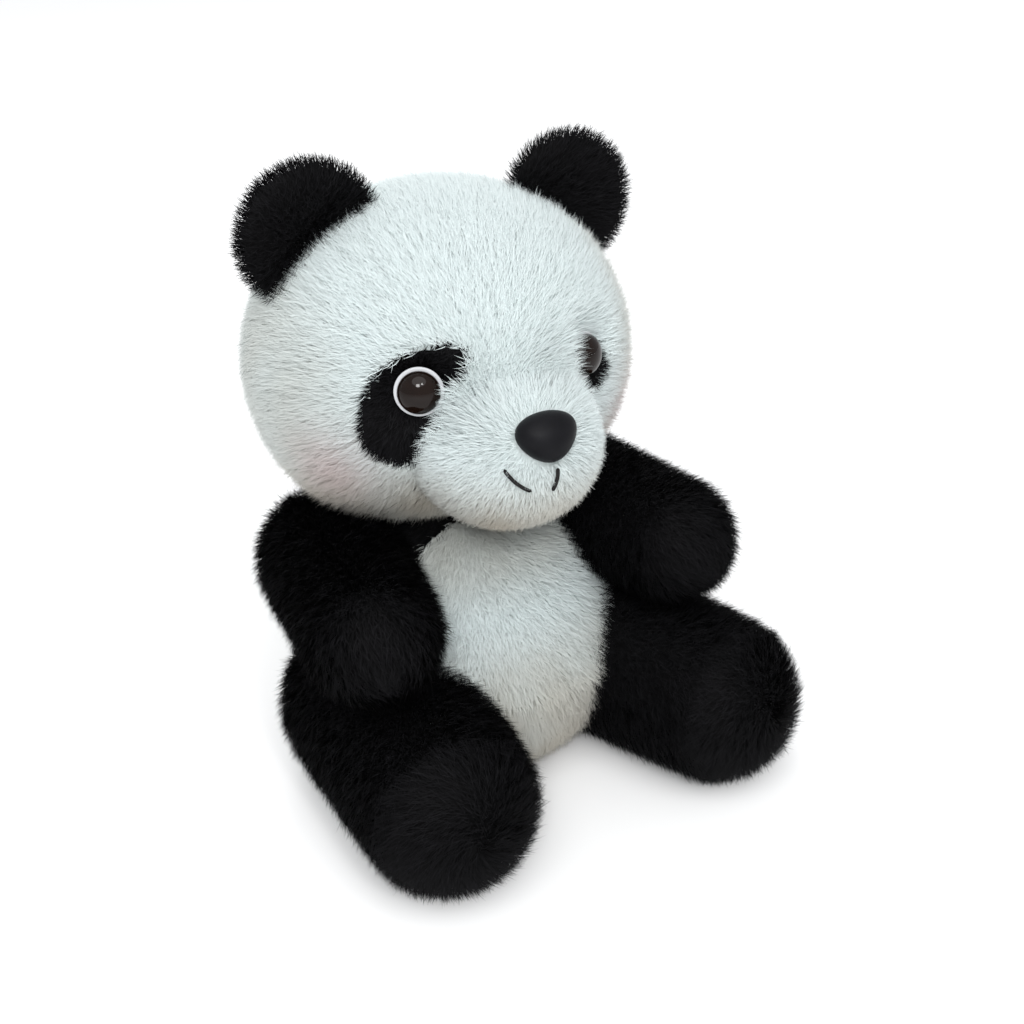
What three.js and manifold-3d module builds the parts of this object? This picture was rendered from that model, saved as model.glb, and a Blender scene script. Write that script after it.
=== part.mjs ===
// Seated plush panda, built as it is sewn: pile-fabric panels over stuffing, plastic eyes and nose
// with shanks and lock washers, and a pellet pouch in the seat.
// Millimetres, +Z up. The toy faces -Y and its right side is -X. The origin is the middle of the seat.
import * as THREE from 'three';
import Module from 'manifold-3d';

const wasm = await Module();
wasm.setup();

// ---- driving dimensions -------------------------------------------------------------------------
const SKIN = 4.5;            // backing and standing pile
const SEAM = 0.6;            // slot between two sewn panels
const FIT = 0.4;             // room between the stuffing and its skin

const LEG_R = 27.6;
const LEG_SINK = 1;          // how much a leg flattens on the ground
const LEG_APART = 15.4;      // from the middle to the inside of each leg at its hip
const HIP_Y = -16;
const FOOT_OUT = { right: 10, left: 9 };     // feet from the hips
const FOOT_AHEAD = { right: 59, left: 67 };
const LEG_IN = -5;           // degrees, the furthest that a leg swings towards the other
const SOLE_BACK = 9;         // seam of the sole, from the foot's centre towards its end

const ARM_R0 = 20.8, ARM_R1 = 20.4;
const SHOULDER_IN = 12, SHOULDER_Y = 3;      // from the torso's side; from the origin
const SHOULDER_RISE = 19.4;  // shoulder's centre above the top of the legs
const PAW_OUT = { right: 17, left: 6 };      // paws from the shoulders
const PAW_AHEAD = { right: 55, left: 62 };
const PAW_RISE = { right: 5.9, left: 4.4 };
const ARM_IN = -8;           // degrees, the furthest that an arm swings towards the belly

const TORSO_W = 57, TORSO_FRONT = 53, TORSO_BACK = 44;
const TORSO_DOWN = 46;
const TORSO_LEAN = 0.12;     // the back rises forward to the neck
const YOKE_DROP = 25;        // lower edge of the black shoulder yoke below the neck
const BIB_HALF = 17;         // half width of the white front at the neck
const BIB_BACK = -20;        // side seams of the belly panel, ahead of where the limbs' hollows all but meet
const BIB_SLOPE = 0.9;       // how much wider it gets for each millimetre down

const NECK_RISE = 15.4;      // neck seam above the shoulders' centres
const NECK_GAP = 2;          // the thread lies in this gap
const NECK_C = [0, 2];       // middle of the neck seam
const NECK_R = 16;
const NECK_THREAD_R = 0.7;

const HEAD_R = [63, 56, 53.5]; // half width, half depth, half height
const HEAD_SINK = 2;         // how far the head presses down over its neck seam
const HEAD_TURN = -7;        // degrees, how far the head looks to its right
const CHEEK = 4;             // how far each cheek stands out of the ellipsoid
const MUZZLE_R = [30.5, 30, 26];
const MUZZLE_AHEAD = 48, MUZZLE_DROP = 16;   // muzzle's centre from the head's
const MUZZLE_SEAM = 48.5;    // from the head's centre to the seam round the muzzle
const LIP_DROP = 5.5;        // seam of the chin below the muzzle's centre
const GUSSET_HALF = 12;      // half width of the crown gusset
const THROAT_HALF = 21;      // half width of the throat panel
const THROAT_DROP = 28.5;    // top of the throat panel below the head's centre

const EAR_ANGLE = { right: 47, left: 40 };   // degrees above level, seen from the front
const EAR_OUT = { right: 3, left: 5.5 };     // ear's centre beyond the head's outline
const EAR_R = 23;
const EAR_HALF_THICK = 6.2;
const EAR_GAP = 1.6;         // room for an ear to fold against the head

const EYE_X = 29.4, EYE_RISE = 7.8;          // eye from the head's centre
const SOCKET_R = 17, SOCKET_DEPTH = 5;       // hollow round each eye
const EYE_SINK = 3.2;        // eye ring's seat below the face
const EYE_DOME_R = 6.6, EYE_DOME_H = 4.4;
const EYE_RING_R = 7.6, EYE_RING_T = 0.9;
const SHANK_R = 1.6, SHANK_LEN = 13;
const WASHER_R = 6, WASHER_T = 1.2;
const LOCK_GAP = 0.8;        // between a lock washer and the skin
const NOSE_RISE = 13;        // nose above the muzzle's centre
const NOSE_W = 19, NOSE_H = 15.5, NOSE_T = 6.5;
const STITCH_R = 0.6;

const POUCH_R = [16, 15, 10], POUCH_Y = 6;
const POUCH_WALL = 1.2;
const POUCH_MOUTH_R = 4;
const PELLET_FILL = 3.5;     // level of the pellets above the pouch's middle
const TAIL_R = [11, 13, 10];
const TAIL_Z = 20;
const TAIL_IN = 1;           // tail's centre inside the back's furthest point

// ---- places that follow from them ---------------------------------------------------------------
const LEG_Z = LEG_R - LEG_SINK;
const HIP = [LEG_R + LEG_APART, HIP_Y, LEG_Z];
const SHOULDER = [TORSO_W - SHOULDER_IN, SHOULDER_Y, LEG_Z + LEG_R + SHOULDER_RISE];
const FOOT = {}, PAW = {};
for (const word of ['right', 'left']) {
  FOOT[word] = [HIP[0] + FOOT_OUT[word], HIP[1] - FOOT_AHEAD[word], LEG_Z];
  PAW[word] = [SHOULDER[0] + PAW_OUT[word], SHOULDER[1] - PAW_AHEAD[word], SHOULDER[2] + PAW_RISE[word]];
}
const NECK_Z = SHOULDER[2] + NECK_RISE;
const HEAD_C = [0, 4, NECK_Z + HEAD_R[2] - HEAD_SINK];
const MUZZLE_C = [0, HEAD_C[1] - MUZZLE_AHEAD, HEAD_C[2] - MUZZLE_DROP];
const TORSO_C = [0, -10, 38];
const TORSO_UP = NECK_Z - TORSO_C[2] + 7;
const TAIL_C = [0, TORSO_C[1] + TORSO_BACK - TAIL_IN, TAIL_Z];

const WHITE = '#e9ecea', BLACK = '#151416', CREAM = '#e6dfd2';

// ---- solids -------------------------------------------------------------------------------------
const V = (a) => new THREE.Vector3(...a);
const tint = { [WHITE]: 0.95, [BLACK]: 0.95, [CREAM]: 0.9 };
const group = new THREE.Group();
group.name = 'plush_panda';

function solid(geometry) {
  const g = geometry.index ? geometry.toNonIndexed() : geometry;
  const p = g.getAttribute('position').array;
  const seen = new Map(), verts = [], tris = [];
  for (let i = 0; i < p.length; i += 9) {
    const t = [0, 3, 6].map((k) => {
      const q = [p[i + k], p[i + k + 1], p[i + k + 2]];
      const key = q.map((v) => Math.round(v * 1e3)).join();
      if (!seen.has(key)) { seen.set(key, verts.length / 3); verts.push(...q); }
      return seen.get(key);
    });
    if (t[0] !== t[1] && t[1] !== t[2] && t[2] !== t[0]) tris.push(...t);
  }
  return new wasm.Manifold(new wasm.Mesh({
    numProp: 3, vertProperties: new Float32Array(verts), triVerts: new Uint32Array(tris),
  }));
}

function add(name, body, colour, roughness = tint[colour] ?? 0.6) {
  const m = body.getMesh();
  const g = new THREE.BufferGeometry();
  g.setAttribute('position', new THREE.BufferAttribute(new Float32Array(m.vertProperties), 3));
  g.setIndex(new THREE.BufferAttribute(new Uint32Array(m.triVerts), 1));
  g.computeVertexNormals();
  const mesh = new THREE.Mesh(g, new THREE.MeshStandardMaterial({ color: colour, roughness, metalness: 0 }));
  mesh.name = name;
  group.add(mesh);
}

// A closed round body: each direction of a sphere with its poles on Z, moved by the function.
function blob(place, across, up) {
  const g = new THREE.SphereGeometry(1, across, up).rotateX(Math.PI / 2);
  const p = g.getAttribute('position');
  for (let i = 0; i < p.count; i++) p.setXYZ(i, ...place(p.getX(i), p.getY(i), p.getZ(i)));
  return solid(g);
}

const ellipsoid = (c, r, across = 18, up = 10) =>
  blob((x, y, z) => [c[0] + r[0] * x, c[1] + r[1] * y, c[2] + r[2] * z], across, up);

// Places a geometry that was made along +Z so that +Z is the given direction at the given point.
function along(geometry, at, direction) {
  const q = new THREE.Quaternion().setFromUnitVectors(new THREE.Vector3(0, 0, 1), V(direction).normalize());
  return solid(geometry.applyQuaternion(q).translate(...at));
}

// The side of a plane that its direction points to.
const BIG = 1000;
const SHANK_HOLE = 40;        // reach of the holes that the shanks go through, behind the skin's face
function half(at, direction) {
  return along(new THREE.BoxGeometry(BIG, BIG, BIG).translate(0, 0, BIG / 2), at, direction);
}

const above = (z) => half([0, 0, z], [0, 0, 1]);
const below = (z) => half([0, 0, z], [0, 0, -1]);
const flip = (v) => v.map((k) => -k);
const step = (at, direction, d) => V(at).addScaledVector(V(direction).normalize(), d).toArray();

// Cuts a body along a plane into the part in front and the part behind, a seam's width apart.
function seam(body, at, direction) {
  return [
    body.intersect(half(step(at, direction, SEAM / 2), direction)),
    body.intersect(half(step(at, direction, -SEAM / 2), flip(direction))),
  ];
}

const union = (list) => list.reduce((a, b) => a.add(b));
const mirrored = (v, s) => [v[0] * s, v[1], v[2]];
const SIDES = [['right', -1], ['left', 1]];
const ofSide = (pair, side) => pair[side < 0 ? 'right' : 'left'];

function turned(body, at, axis, degrees) {
  const m = new THREE.Matrix4().makeTranslation(...at)
    .multiply(new THREE.Matrix4().makeRotationAxis(V(axis).normalize(), THREE.MathUtils.degToRad(degrees)))
    .multiply(new THREE.Matrix4().makeTranslation(...flip(at)));
  return body.transform(m.elements);
}

// A limb: two spheres and the cone between them, as one profile turned about the limb's axis.
function limb(a, b, r0, r1, grow = 0, across = 18) {
  const length = V(b).distanceTo(V(a));
  const profile = [];
  for (let i = 0; i <= 4; i++) {
    const t = (i / 4) * (Math.PI / 2);
    profile.push([(r0 + grow) * Math.sin(t), -(r0 + grow) * Math.cos(t)]);
  }
  for (let i = 0; i <= 4; i++) {
    const t = (i / 4) * (Math.PI / 2);
    profile.push([(r1 + grow) * Math.cos(t), length + (r1 + grow) * Math.sin(t)]);
  }
  profile[0][0] = profile[profile.length - 1][0] = 0;
  const g = new THREE.LatheGeometry(profile.map(([r, z]) => new THREE.Vector2(r, z)), across)
    .rotateX(Math.PI / 2);
  return along(g, a, V(b).sub(V(a)).toArray());
}

// A turned piece from (radius, height) pairs that start and end on the axis.
const lathe = (pairs, across = 18) =>
  new THREE.LatheGeometry(pairs.map(([r, z]) => new THREE.Vector2(r, z)), across).rotateX(Math.PI / 2);
const rod = (r, z0, z1, across = 12) => lathe([[0, z0], [r, z0], [r, z1], [0, z1]], across);
const washer = (r, hole, z0, z1) => lathe([[hole, z0], [r, z0], [r, z1], [hole, z1], [hole, z0]]);

// ---- head ---------------------------------------------------------------------------------------
function headForm(inset, across = inset > 0 ? 24 : 30, up = inset > 0 ? 12 : 15) {
  const r = HEAD_R.map((k) => k - inset);
  return blob((x, y, z) => {
    const d = 1 / Math.hypot(x / r[0], y / r[1], z / r[2]);
    const cheek = CHEEK * Math.exp(-(1 - (Math.abs(x) * 0.77 - y * 0.31 - z * 0.56)) / 0.1);
    return [HEAD_C[0] + x * (d + cheek), HEAD_C[1] + y * (d + cheek), HEAD_C[2] + z * (d + cheek)];
  }, across, up);
}

const muzzleForm = (inset) => ellipsoid(MUZZLE_C, MUZZLE_R.map((k) => k - inset),
  inset > 0 ? 16 : 20, inset > 0 ? 8 : 11);

// Where the line through a point of the face at x and z meets the front of an ellipsoid.
function onEllipsoid(c, r, x, z) {
  const k = 1 - ((x - c[0]) / r[0]) ** 2 - ((z - c[2]) / r[2]) ** 2;
  const at = [x, c[1] - r[1] * Math.sqrt(k), z];
  const normal = V(at.map((v, i) => (v - c[i]) / r[i] ** 2)).normalize().toArray();
  return [at, normal];
}

// The hollow that an eye sits in, deeper by the given amount.
function socket(side, deeper) {
  const [at, normal] = onEllipsoid(HEAD_C, HEAD_R, side * EYE_X, HEAD_C[2] + EYE_RISE);
  return ellipsoid(step(at, normal, SOCKET_R - SOCKET_DEPTH), [1, 1, 1].map(() => SOCKET_R + deeper), 20, 14);
}

const headSolid = (inset) => headForm(inset).add(muzzleForm(inset))
  .subtract(socket(-1, inset)).subtract(socket(1, inset));
const headBottom = NECK_Z + NECK_GAP / 2;
const neckRod = (r, z0, z1) => solid(rod(r, z0, z1, 28).translate(...NECK_C, 0));
const neckHole = neckRod(NECK_R, NECK_Z - 10, NECK_Z + 12);
const headSkin = headSolid(0).subtract(headSolid(SKIN));
let headCore = headSolid(SKIN + FIT);

// The head is shaped looking straight ahead, then turned on its neck and closed over the neck seam.
const headPose = (body) => turned(body, [...NECK_C, 0], [0, 0, 1], HEAD_TURN);
const addHead = (name, body, ...look) => add(name, headPose(body), ...look);
const addSkin = (name, body, ...look) =>
  add(name, headPose(body).intersect(above(headBottom)).subtract(neckHole), ...look);

const toMuzzle = V(MUZZLE_C).sub(V(HEAD_C)).toArray();
const [muzzle, face] = seam(headSkin, step(HEAD_C, toMuzzle, MUZZLE_SEAM), toMuzzle);
const [muzzleTop, muzzleChin] = seam(muzzle, [0, MUZZLE_C[1] - 16, MUZZLE_C[2] - LIP_DROP], [0, 0.25, 1]);

// The throat panel lies below this plane; the crown gusset runs down to it at the back of the head.
const throatTop = [0, HEAD_C[1], HEAD_C[2] - THROAT_DROP], throatUp = [0, 0.1, 1];
const middle = (halfWidth) => solid(new THREE.BoxGeometry(2 * halfWidth, BIG, BIG));
const throatZone = (grow) => middle(THROAT_HALF + grow)
  .intersect(half(step(throatTop, throatUp, grow), flip(throatUp)));
const throat = face.intersect(throatZone(-SEAM / 2));
const aboveThroat = face.subtract(throatZone(SEAM / 2));
const gusset = aboveThroat.intersect(middle(GUSSET_HALF - SEAM / 2));
const sideOfFace = (side) => aboveThroat.intersect(half([side * (GUSSET_HALF + SEAM / 2), 0, 0], [side, 0, 0]));

// Eye patch outline round the eye's centre, outer side towards -u.
const PATCH = [[14, 10.5], [8.5, 13], [2, 12], [-5, 10.2], [-11, 6], [-15.5, -1], [-17.5, -10], [-17, -15.5],
  [-14, -19.5], [-8.5, -22.5], [-2, -22.5], [2.5, -19.5], [5.5, -13], [7, -7.5], [9, -3.5], [13, 3.8]];
const PATCH_MID = [-4, -5], PATCH_REACH = 16;

function patchPrism(side, at, normal, grow) {
  const k = 1 + grow / PATCH_REACH;
  const pts = PATCH.map(([u, v]) => new THREE.Vector2(
    -side * (PATCH_MID[0] + (u - PATCH_MID[0]) * k), PATCH_MID[1] + (v - PATCH_MID[1]) * k));
  const outline = new THREE.SplineCurve([...pts, pts[0]]).getPoints(28).slice(0, -1);
  const g = new THREE.ExtrudeGeometry(new THREE.Shape(outline), { depth: 40, bevelEnabled: false })
    .translate(0, 0, -22);
  const n = V(normal), u = new THREE.Vector3(0, 0, 1).cross(n).normalize(), v = n.clone().cross(u);
  return solid(g.applyMatrix4(new THREE.Matrix4().makeBasis(u, v, n)).translate(...at));
}

const eyeDome = () => {
  const pairs = [[0, -SHANK_LEN], [SHANK_R, -SHANK_LEN], [SHANK_R, 1.5], [EYE_DOME_R, 1.5]];
  for (let i = 1; i <= 4; i++) {
    const t = (i / 4) * (Math.PI / 2);
    pairs.push([i === 4 ? 0 : EYE_DOME_R * Math.cos(t), 1.9 + EYE_DOME_H * Math.sin(t)]);
  }
  return lathe(pairs);
};

const EYE_LOCK = SOCKET_DEPTH - EYE_SINK + SKIN + LOCK_GAP;   // washer's face below the eye's seat
const sidePanels = { right: sideOfFace(-1), left: sideOfFace(1) };
const ears = {};

// ---- ears ---------------------------------------------------------------------------------------
function earForm(side, grow) {
  const a = THREE.MathUtils.degToRad(ofSide(EAR_ANGLE, side));
  const out = [side * Math.cos(a), 0, Math.sin(a)];
  const g = new THREE.SphereGeometry(1, 18, 10);
  const p = g.getAttribute('position');
  for (let i = 0; i < p.count; i++) {
    const h = (EAR_R + grow) * p.getZ(i);
    const thick = (EAR_HALF_THICK * THREE.MathUtils.clamp(0.5 + (h + 8) / 26, 0.42, 1) + grow) * p.getY(i);
    p.setXYZ(i, (EAR_R + grow) * p.getX(i), thick, h);
  }
  g.rotateY(side * (Math.PI / 2 - a));
  const reach = 1 / Math.hypot(out[0] / HEAD_R[0], out[2] / HEAD_R[2]);
  const c = step(HEAD_C, out, reach + ofSide(EAR_OUT, side));
  return solid(g.translate(c[0], HEAD_C[1], c[2]));
}

const headRoom = headForm(-EAR_GAP);
for (const [word, side] of SIDES) {
  const ear = earForm(side, 0).subtract(headRoom);
  const [back, front] = seam(ear, HEAD_C, [0, 1, 0]);
  ears[word] = { back, front };
}

// ---- eyes, nose and mouth -----------------------------------------------------------------------
for (const [word, side] of SIDES) {
  const [face, normal] = onEllipsoid(HEAD_C, HEAD_R, side * EYE_X, HEAD_C[2] + EYE_RISE);
  const at = step(face, normal, -EYE_SINK);
  const place = (g) => along(g, at, normal);
  const hole = place(rod(SHANK_R + FIT, -SHANK_HOLE, 4));
  const patch = sidePanels[word].intersect(patchPrism(side, at, normal, 0)).subtract(hole);
  addSkin(`head_side_${word}`, sidePanels[word].subtract(patchPrism(side, at, normal, SEAM)), WHITE);
  addSkin(`eye_patch_${word}`, patch, BLACK);
  addHead(`eye_ring_${word}`, place(washer(EYE_RING_R, SHANK_R + FIT, 0.4, 0.4 + EYE_RING_T)), '#e8e8ea', 0.35);
  addHead(`eye_${word}`, place(eyeDome()), '#140d0b', 0.08);
  addHead(`eye_lock_washer_${word}`,
    place(washer(WASHER_R, SHANK_R + FIT, -EYE_LOCK - WASHER_T, -EYE_LOCK)), '#d9dadc', 0.45);
  headCore = headCore.subtract(place(rod(WASHER_R + 0.8, -EYE_LOCK - WASHER_T - FIT, 6, 18)))
    .subtract(place(rod(SHANK_R + FIT, -SHANK_LEN - 1.5, 0, 12)));
}
addSkin('crown_gusset', gusset, WHITE);
addSkin('throat_panel', throat, CREAM);

const [noseAt, noseNormal] = onEllipsoid(MUZZLE_C, MUZZLE_R, MUZZLE_C[0], MUZZLE_C[2] + NOSE_RISE);
const noseBody = blob((x, y, z) => {
  const taper = 1 + 0.28 * y;                      // wide at the top, narrow below
  return [(NOSE_W / 2) * x * taper, (NOSE_H / 2) * y, NOSE_T * z];
}, 20, 12);
const noseTurn = (body) => {
  const n = V(noseNormal), u = new THREE.Vector3(1, 0, 0), v = n.clone().cross(u);
  return body.transform(new THREE.Matrix4().makeTranslation(...noseAt)
    .multiply(new THREE.Matrix4().makeBasis(u, v, n)).elements);
};
const noseHole = noseTurn(solid(rod(SHANK_R + FIT, -SHANK_HOLE, 6)));
addHead('nose', noseTurn(noseBody).subtract(muzzleForm(-0.4)).add(noseTurn(solid(rod(SHANK_R, -SHANK_LEN, 3)))),
  '#121113', 0.55);
addHead('nose_lock_washer',
  noseTurn(solid(washer(WASHER_R, SHANK_R + FIT, -SKIN - 2.2 - WASHER_T, -SKIN - 2.2))), '#d9dadc', 0.45);
addSkin('muzzle_panel', muzzleTop.subtract(noseHole), WHITE);
addSkin('chin_panel', muzzleChin, CREAM);
headCore = headCore.subtract(noseTurn(solid(rod(WASHER_R + 0.8, -SKIN - 4.4, 6, 18))))
  .subtract(noseTurn(solid(rod(SHANK_R + FIT, -SHANK_LEN - 1.5, 0, 12))));

// Mouth: two short threads laid on the muzzle.
const STITCHES = {             // across and up from the muzzle's centre
  right: [[-14.6, 5.9], [-11.8, 1.6], [-7.4, -1.7]],
  left: [[1.2, 4.1], [0.7, 0.5], [-0.8, -2.9]],
};
for (const [word, points] of Object.entries(STITCHES)) {
  const lift = MUZZLE_R.map((k) => k + STITCH_R + 0.3);
  const path = new THREE.CatmullRomCurve3(points.map(([x, z]) =>
    V(onEllipsoid(MUZZLE_C, lift, x, MUZZLE_C[2] + z)[0])));
  const tube = new THREE.TubeGeometry(path, 6, STITCH_R, 6, false);
  const ends = [0, 1].map((t) => path.getPoint(t).toArray());
  const threads = union([solid(closeTube(tube, 6, 6)),
    ...ends.map((c) => ellipsoid(c, [STITCH_R, STITCH_R, STITCH_R], 6, 4))]);
  addHead(`mouth_stitch_${word}`, threads, '#1b1716', 0.8);
}

// Caps the two open ends of a tube with fans.
function closeTube(tube, rows, sides) {
  const g = tube.toNonIndexed();
  const p = tube.getAttribute('position');
  const at = (i, j) => [p.getX(i * (sides + 1) + j), p.getY(i * (sides + 1) + j), p.getZ(i * (sides + 1) + j)];
  const out = [...g.getAttribute('position').array];
  for (const [row, turn] of [[0, -1], [rows, 1]]) {
    for (let j = 1; j < sides - 1; j++) {
      const fan = [at(row, 0), at(row, j), at(row, j + 1)];
      out.push(...(turn > 0 ? [...fan[0], ...fan[2], ...fan[1]] : fan.flat()));
    }
  }
  const closed = new THREE.BufferGeometry();
  closed.setAttribute('position', new THREE.BufferAttribute(new Float32Array(out), 3));
  return closed;
}

const neckPlug = neckRod(NECK_R - FIT, headBottom, HEAD_C[2]);
add('head_stuffing', headPose(headCore).intersect(above(headBottom + SKIN + FIT))
  .add(neckPlug.subtract(above(headBottom + SKIN + 2))), '#f2f2ee', 1);
for (const [word] of SIDES) {
  addHead(`ear_front_${word}`, ears[word].front, BLACK);
  addHead(`ear_back_${word}`, ears[word].back, BLACK);
}

// ---- arms and legs ------------------------------------------------------------------------------
function armForm(side, grow, degrees = 0) {
  const a = mirrored(SHOULDER, side), b = mirrored(ofSide(PAW, side), side);
  return turned(limb(a, b, ARM_R0, ARM_R1, grow), a, [0, 0, 1], degrees * side);
}

function legForm(side, grow, degrees = 0) {
  const a = mirrored(HIP, side), b = mirrored(ofSide(FOOT, side), side);
  const floor = grow < 0 ? -grow : -2 * grow;
  return turned(limb(a, b, LEG_R, LEG_R, grow), a, [0, 0, 1], degrees * side).intersect(above(floor));
}

const ROOM = 0.8;            // between a limb and the torso

let carve = [];
for (const [word, side] of SIDES) {
  carve.push(legForm(side, ROOM, LEG_IN), legForm(side, ROOM));
  carve.push(armForm(side, ROOM, ARM_IN), armForm(side, ROOM));

  const armSkin = armForm(side, 0).subtract(armForm(side, -SKIN));
  const armLine = V(mirrored(PAW[word], side)).sub(V(mirrored(SHOULDER, side)));
  const across = new THREE.Vector3(0, 0, 1).cross(armLine).multiplyScalar(side).normalize().toArray();
  const [outer, inner] = seam(armSkin, mirrored(SHOULDER, side), across);
  add(`arm_outer_panel_${word}`, outer, BLACK);
  add(`arm_inner_panel_${word}`, inner, BLACK);
  add(`arm_stuffing_${word}`, armForm(side, -SKIN - FIT), '#f2f2ee', 1);

  const legSkin = legForm(side, 0).subtract(legForm(side, -SKIN));
  const legLine = V(mirrored(FOOT[word], side)).sub(V(mirrored(HIP, side))).toArray();
  const [sole, sleeve] = seam(legSkin, step(mirrored(FOOT[word], side), legLine, SOLE_BACK), legLine);
  const [upper, under] = seam(sleeve, mirrored(HIP, side), [0, 0, 1]);
  add(`leg_upper_panel_${word}`, upper, BLACK);
  add(`leg_under_panel_${word}`, under, BLACK);
  add(`foot_sole_panel_${word}`, sole, BLACK);
  add(`leg_stuffing_${word}`, legForm(side, -SKIN - FIT), '#f2f2ee', 1);
}
carve = union(carve);

// ---- torso --------------------------------------------------------------------------------------
function torsoForm(inset) {
  return blob((x, y, z) => {
    const flat = Math.hypot(x, y) || 1e-9;
    const rise = Math.max(z, 0);
    const r = flat ** 0.8 * (1 - 0.3 * rise) / flat;
    const deep = y < 0 ? TORSO_FRONT : TORSO_BACK;
    const height = (z > 0 ? TORSO_UP : TORSO_DOWN) - inset;
    return [TORSO_C[0] + x * r * (TORSO_W - inset),
      TORSO_C[1] + y * r * (deep - inset) + TORSO_LEAN * height * rise,
      TORSO_C[2] + z * height];
  }, inset > 0 ? 22 : 30, inset > 0 ? 11 : 14);
}

const torsoTop = NECK_Z - NECK_GAP / 2;
const torsoHull = torsoForm(0);
const torsoOuter = torsoHull.intersect(above(0)).intersect(below(torsoTop)).subtract(carve);
// The stuffing stands off the skin by the skin's thickness, also round the limbs' hollows.
let deepCarve = [];
for (const [, side] of SIDES) {
  deepCarve.push(legForm(side, ROOM + SKIN, LEG_IN), armForm(side, ROOM + SKIN, ARM_IN));
}
deepCarve = union(deepCarve);
const torsoHollow = torsoForm(SKIN).intersect(above(SKIN)).intersect(below(torsoTop - SKIN))
  .subtract(deepCarve);
const torsoSkin = torsoOuter.subtract(torsoHollow)
  .subtract(neckRod(NECK_R, torsoTop - 2 * SKIN, torsoTop + 5));

const [seatPanel, walls] = seam(torsoSkin, [0, 0, SKIN + 3], [0, 0, -1]);

// The yoke is what lies above its lower edge, less the white bib that runs up the front to the neck.
function yokeRegion(grow) {
  const bib = SIDES.map(([, side]) => half([side * (BIB_HALF - grow), 0, torsoTop], [-side, 0, -BIB_SLOPE]))
    .reduce((a, b) => a.intersect(b)).intersect(half([0, BIB_BACK - grow, 0], [0, -1, 0]));
  return half([0, 12, NECK_Z - YOKE_DROP - grow], [0, 0.2, 1]).subtract(bib);
}

const yoke = walls.intersect(yokeRegion(-SEAM / 2));
const lower = walls.subtract(yokeRegion(SEAM / 2));
const [belly, backHalf] = seam(lower, [0, BIB_BACK, 40], [0, -1, 0]);
const [backLeft, backRight] = seam(backHalf, [0, 0, 0], [1, 0, 0]);
const torsoPanels = [['belly_panel', belly, WHITE], ['back_panel_right', backRight, WHITE],
  ['back_panel_left', backLeft, WHITE], ['shoulder_yoke', yoke, BLACK], ['seat_panel', seatPanel, WHITE]];
for (const [name, body, colour] of torsoPanels) add(name, body, colour);

// ---- inside the torso ---------------------------------------------------------------------------
const pouchC = [0, POUCH_Y, SKIN + 1 + POUCH_R[2]];
const pouchForm = (inset) => ellipsoid(pouchC, POUCH_R.map((k) => k - inset), 16, 8);
const mouth = solid(rod(POUCH_MOUTH_R, pouchC[2], pouchC[2] + 40, 14)).transform(
  new THREE.Matrix4().makeTranslation(pouchC[0], pouchC[1], 0).elements);
add('pellet_pouch', pouchForm(0).subtract(pouchForm(POUCH_WALL)).subtract(mouth), '#dcdccf', 0.85);
add('plastic_pellets', pouchForm(POUCH_WALL + FIT).intersect(below(pouchC[2] + PELLET_FILL)), '#f4f4f6', 0.5);
const pouchRoom = pouchForm(-FIT);
const pouchWay = solid(new THREE.LatheGeometry([[0, 0], [1, 0], [1, 1], [0, 1]]
  .map(([r, z]) => new THREE.Vector2(r, z)), 24).rotateX(Math.PI / 2)
  .scale(POUCH_R[0] + FIT, POUCH_R[1] + FIT, pouchC[2]).translate(pouchC[0], pouchC[1], 0));
const torsoCore = torsoForm(SKIN + FIT).intersect(above(SKIN + FIT)).intersect(below(torsoTop - SKIN - FIT))
  .add(neckRod(NECK_R - FIT, torsoTop - SKIN - 2, torsoTop))
  .subtract(deepCarve).subtract(pouchRoom).subtract(pouchWay);
add('torso_stuffing', torsoCore, '#f2f2ee', 1);
add('neck_thread', solid(new THREE.TorusGeometry(NECK_R + 2, NECK_THREAD_R, 6, 24).translate(...NECK_C, NECK_Z)),
  '#f0efe9', 0.7);
add('tail', ellipsoid(TAIL_C, TAIL_R, 18, 10).subtract(torsoForm(-FIT)), WHITE);

export default group;
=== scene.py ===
import math

import bpy
import numpy as np
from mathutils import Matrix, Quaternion, Vector


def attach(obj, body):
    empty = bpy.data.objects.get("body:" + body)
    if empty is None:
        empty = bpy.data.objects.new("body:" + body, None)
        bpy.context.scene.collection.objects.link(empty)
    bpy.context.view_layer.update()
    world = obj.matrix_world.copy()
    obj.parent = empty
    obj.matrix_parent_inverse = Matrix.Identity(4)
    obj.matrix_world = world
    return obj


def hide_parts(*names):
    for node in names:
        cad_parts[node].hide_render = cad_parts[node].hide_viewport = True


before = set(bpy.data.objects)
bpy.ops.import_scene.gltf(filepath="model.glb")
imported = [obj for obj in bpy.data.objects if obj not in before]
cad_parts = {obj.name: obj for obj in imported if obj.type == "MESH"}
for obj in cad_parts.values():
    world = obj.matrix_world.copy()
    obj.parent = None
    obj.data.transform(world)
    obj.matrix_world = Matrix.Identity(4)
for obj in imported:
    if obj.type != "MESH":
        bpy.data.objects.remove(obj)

MM = 0.001
rng = np.random.default_rng(20)
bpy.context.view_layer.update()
FULL = 1.0   # share of the pile that is grown


# ---- vectors ------------------------------------------------------------------------------------
def arr(*v):
    return np.array(v, float)


def unit(v):
    """Each row divided by its length."""
    return v / np.maximum(np.linalg.norm(v, axis=-1, keepdims=True), 1e-9)


def dot(a, b):
    return (a * b).sum(-1, keepdims=True)


def tangent(v, n):
    """The part of each direction that lies in the surface with this normal, as a unit vector."""
    return unit(v - n * dot(v, n))


def bell(x):
    """1 at 0, falling smoothly to about 0 beyond 2."""
    return np.exp(-x * x)


def ramp(a, b, x):
    """0 below a, 1 above b, smooth between."""
    t = np.clip((x - a) / (b - a), 0, 1)
    return t * t * (3 - 2 * t)


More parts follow.
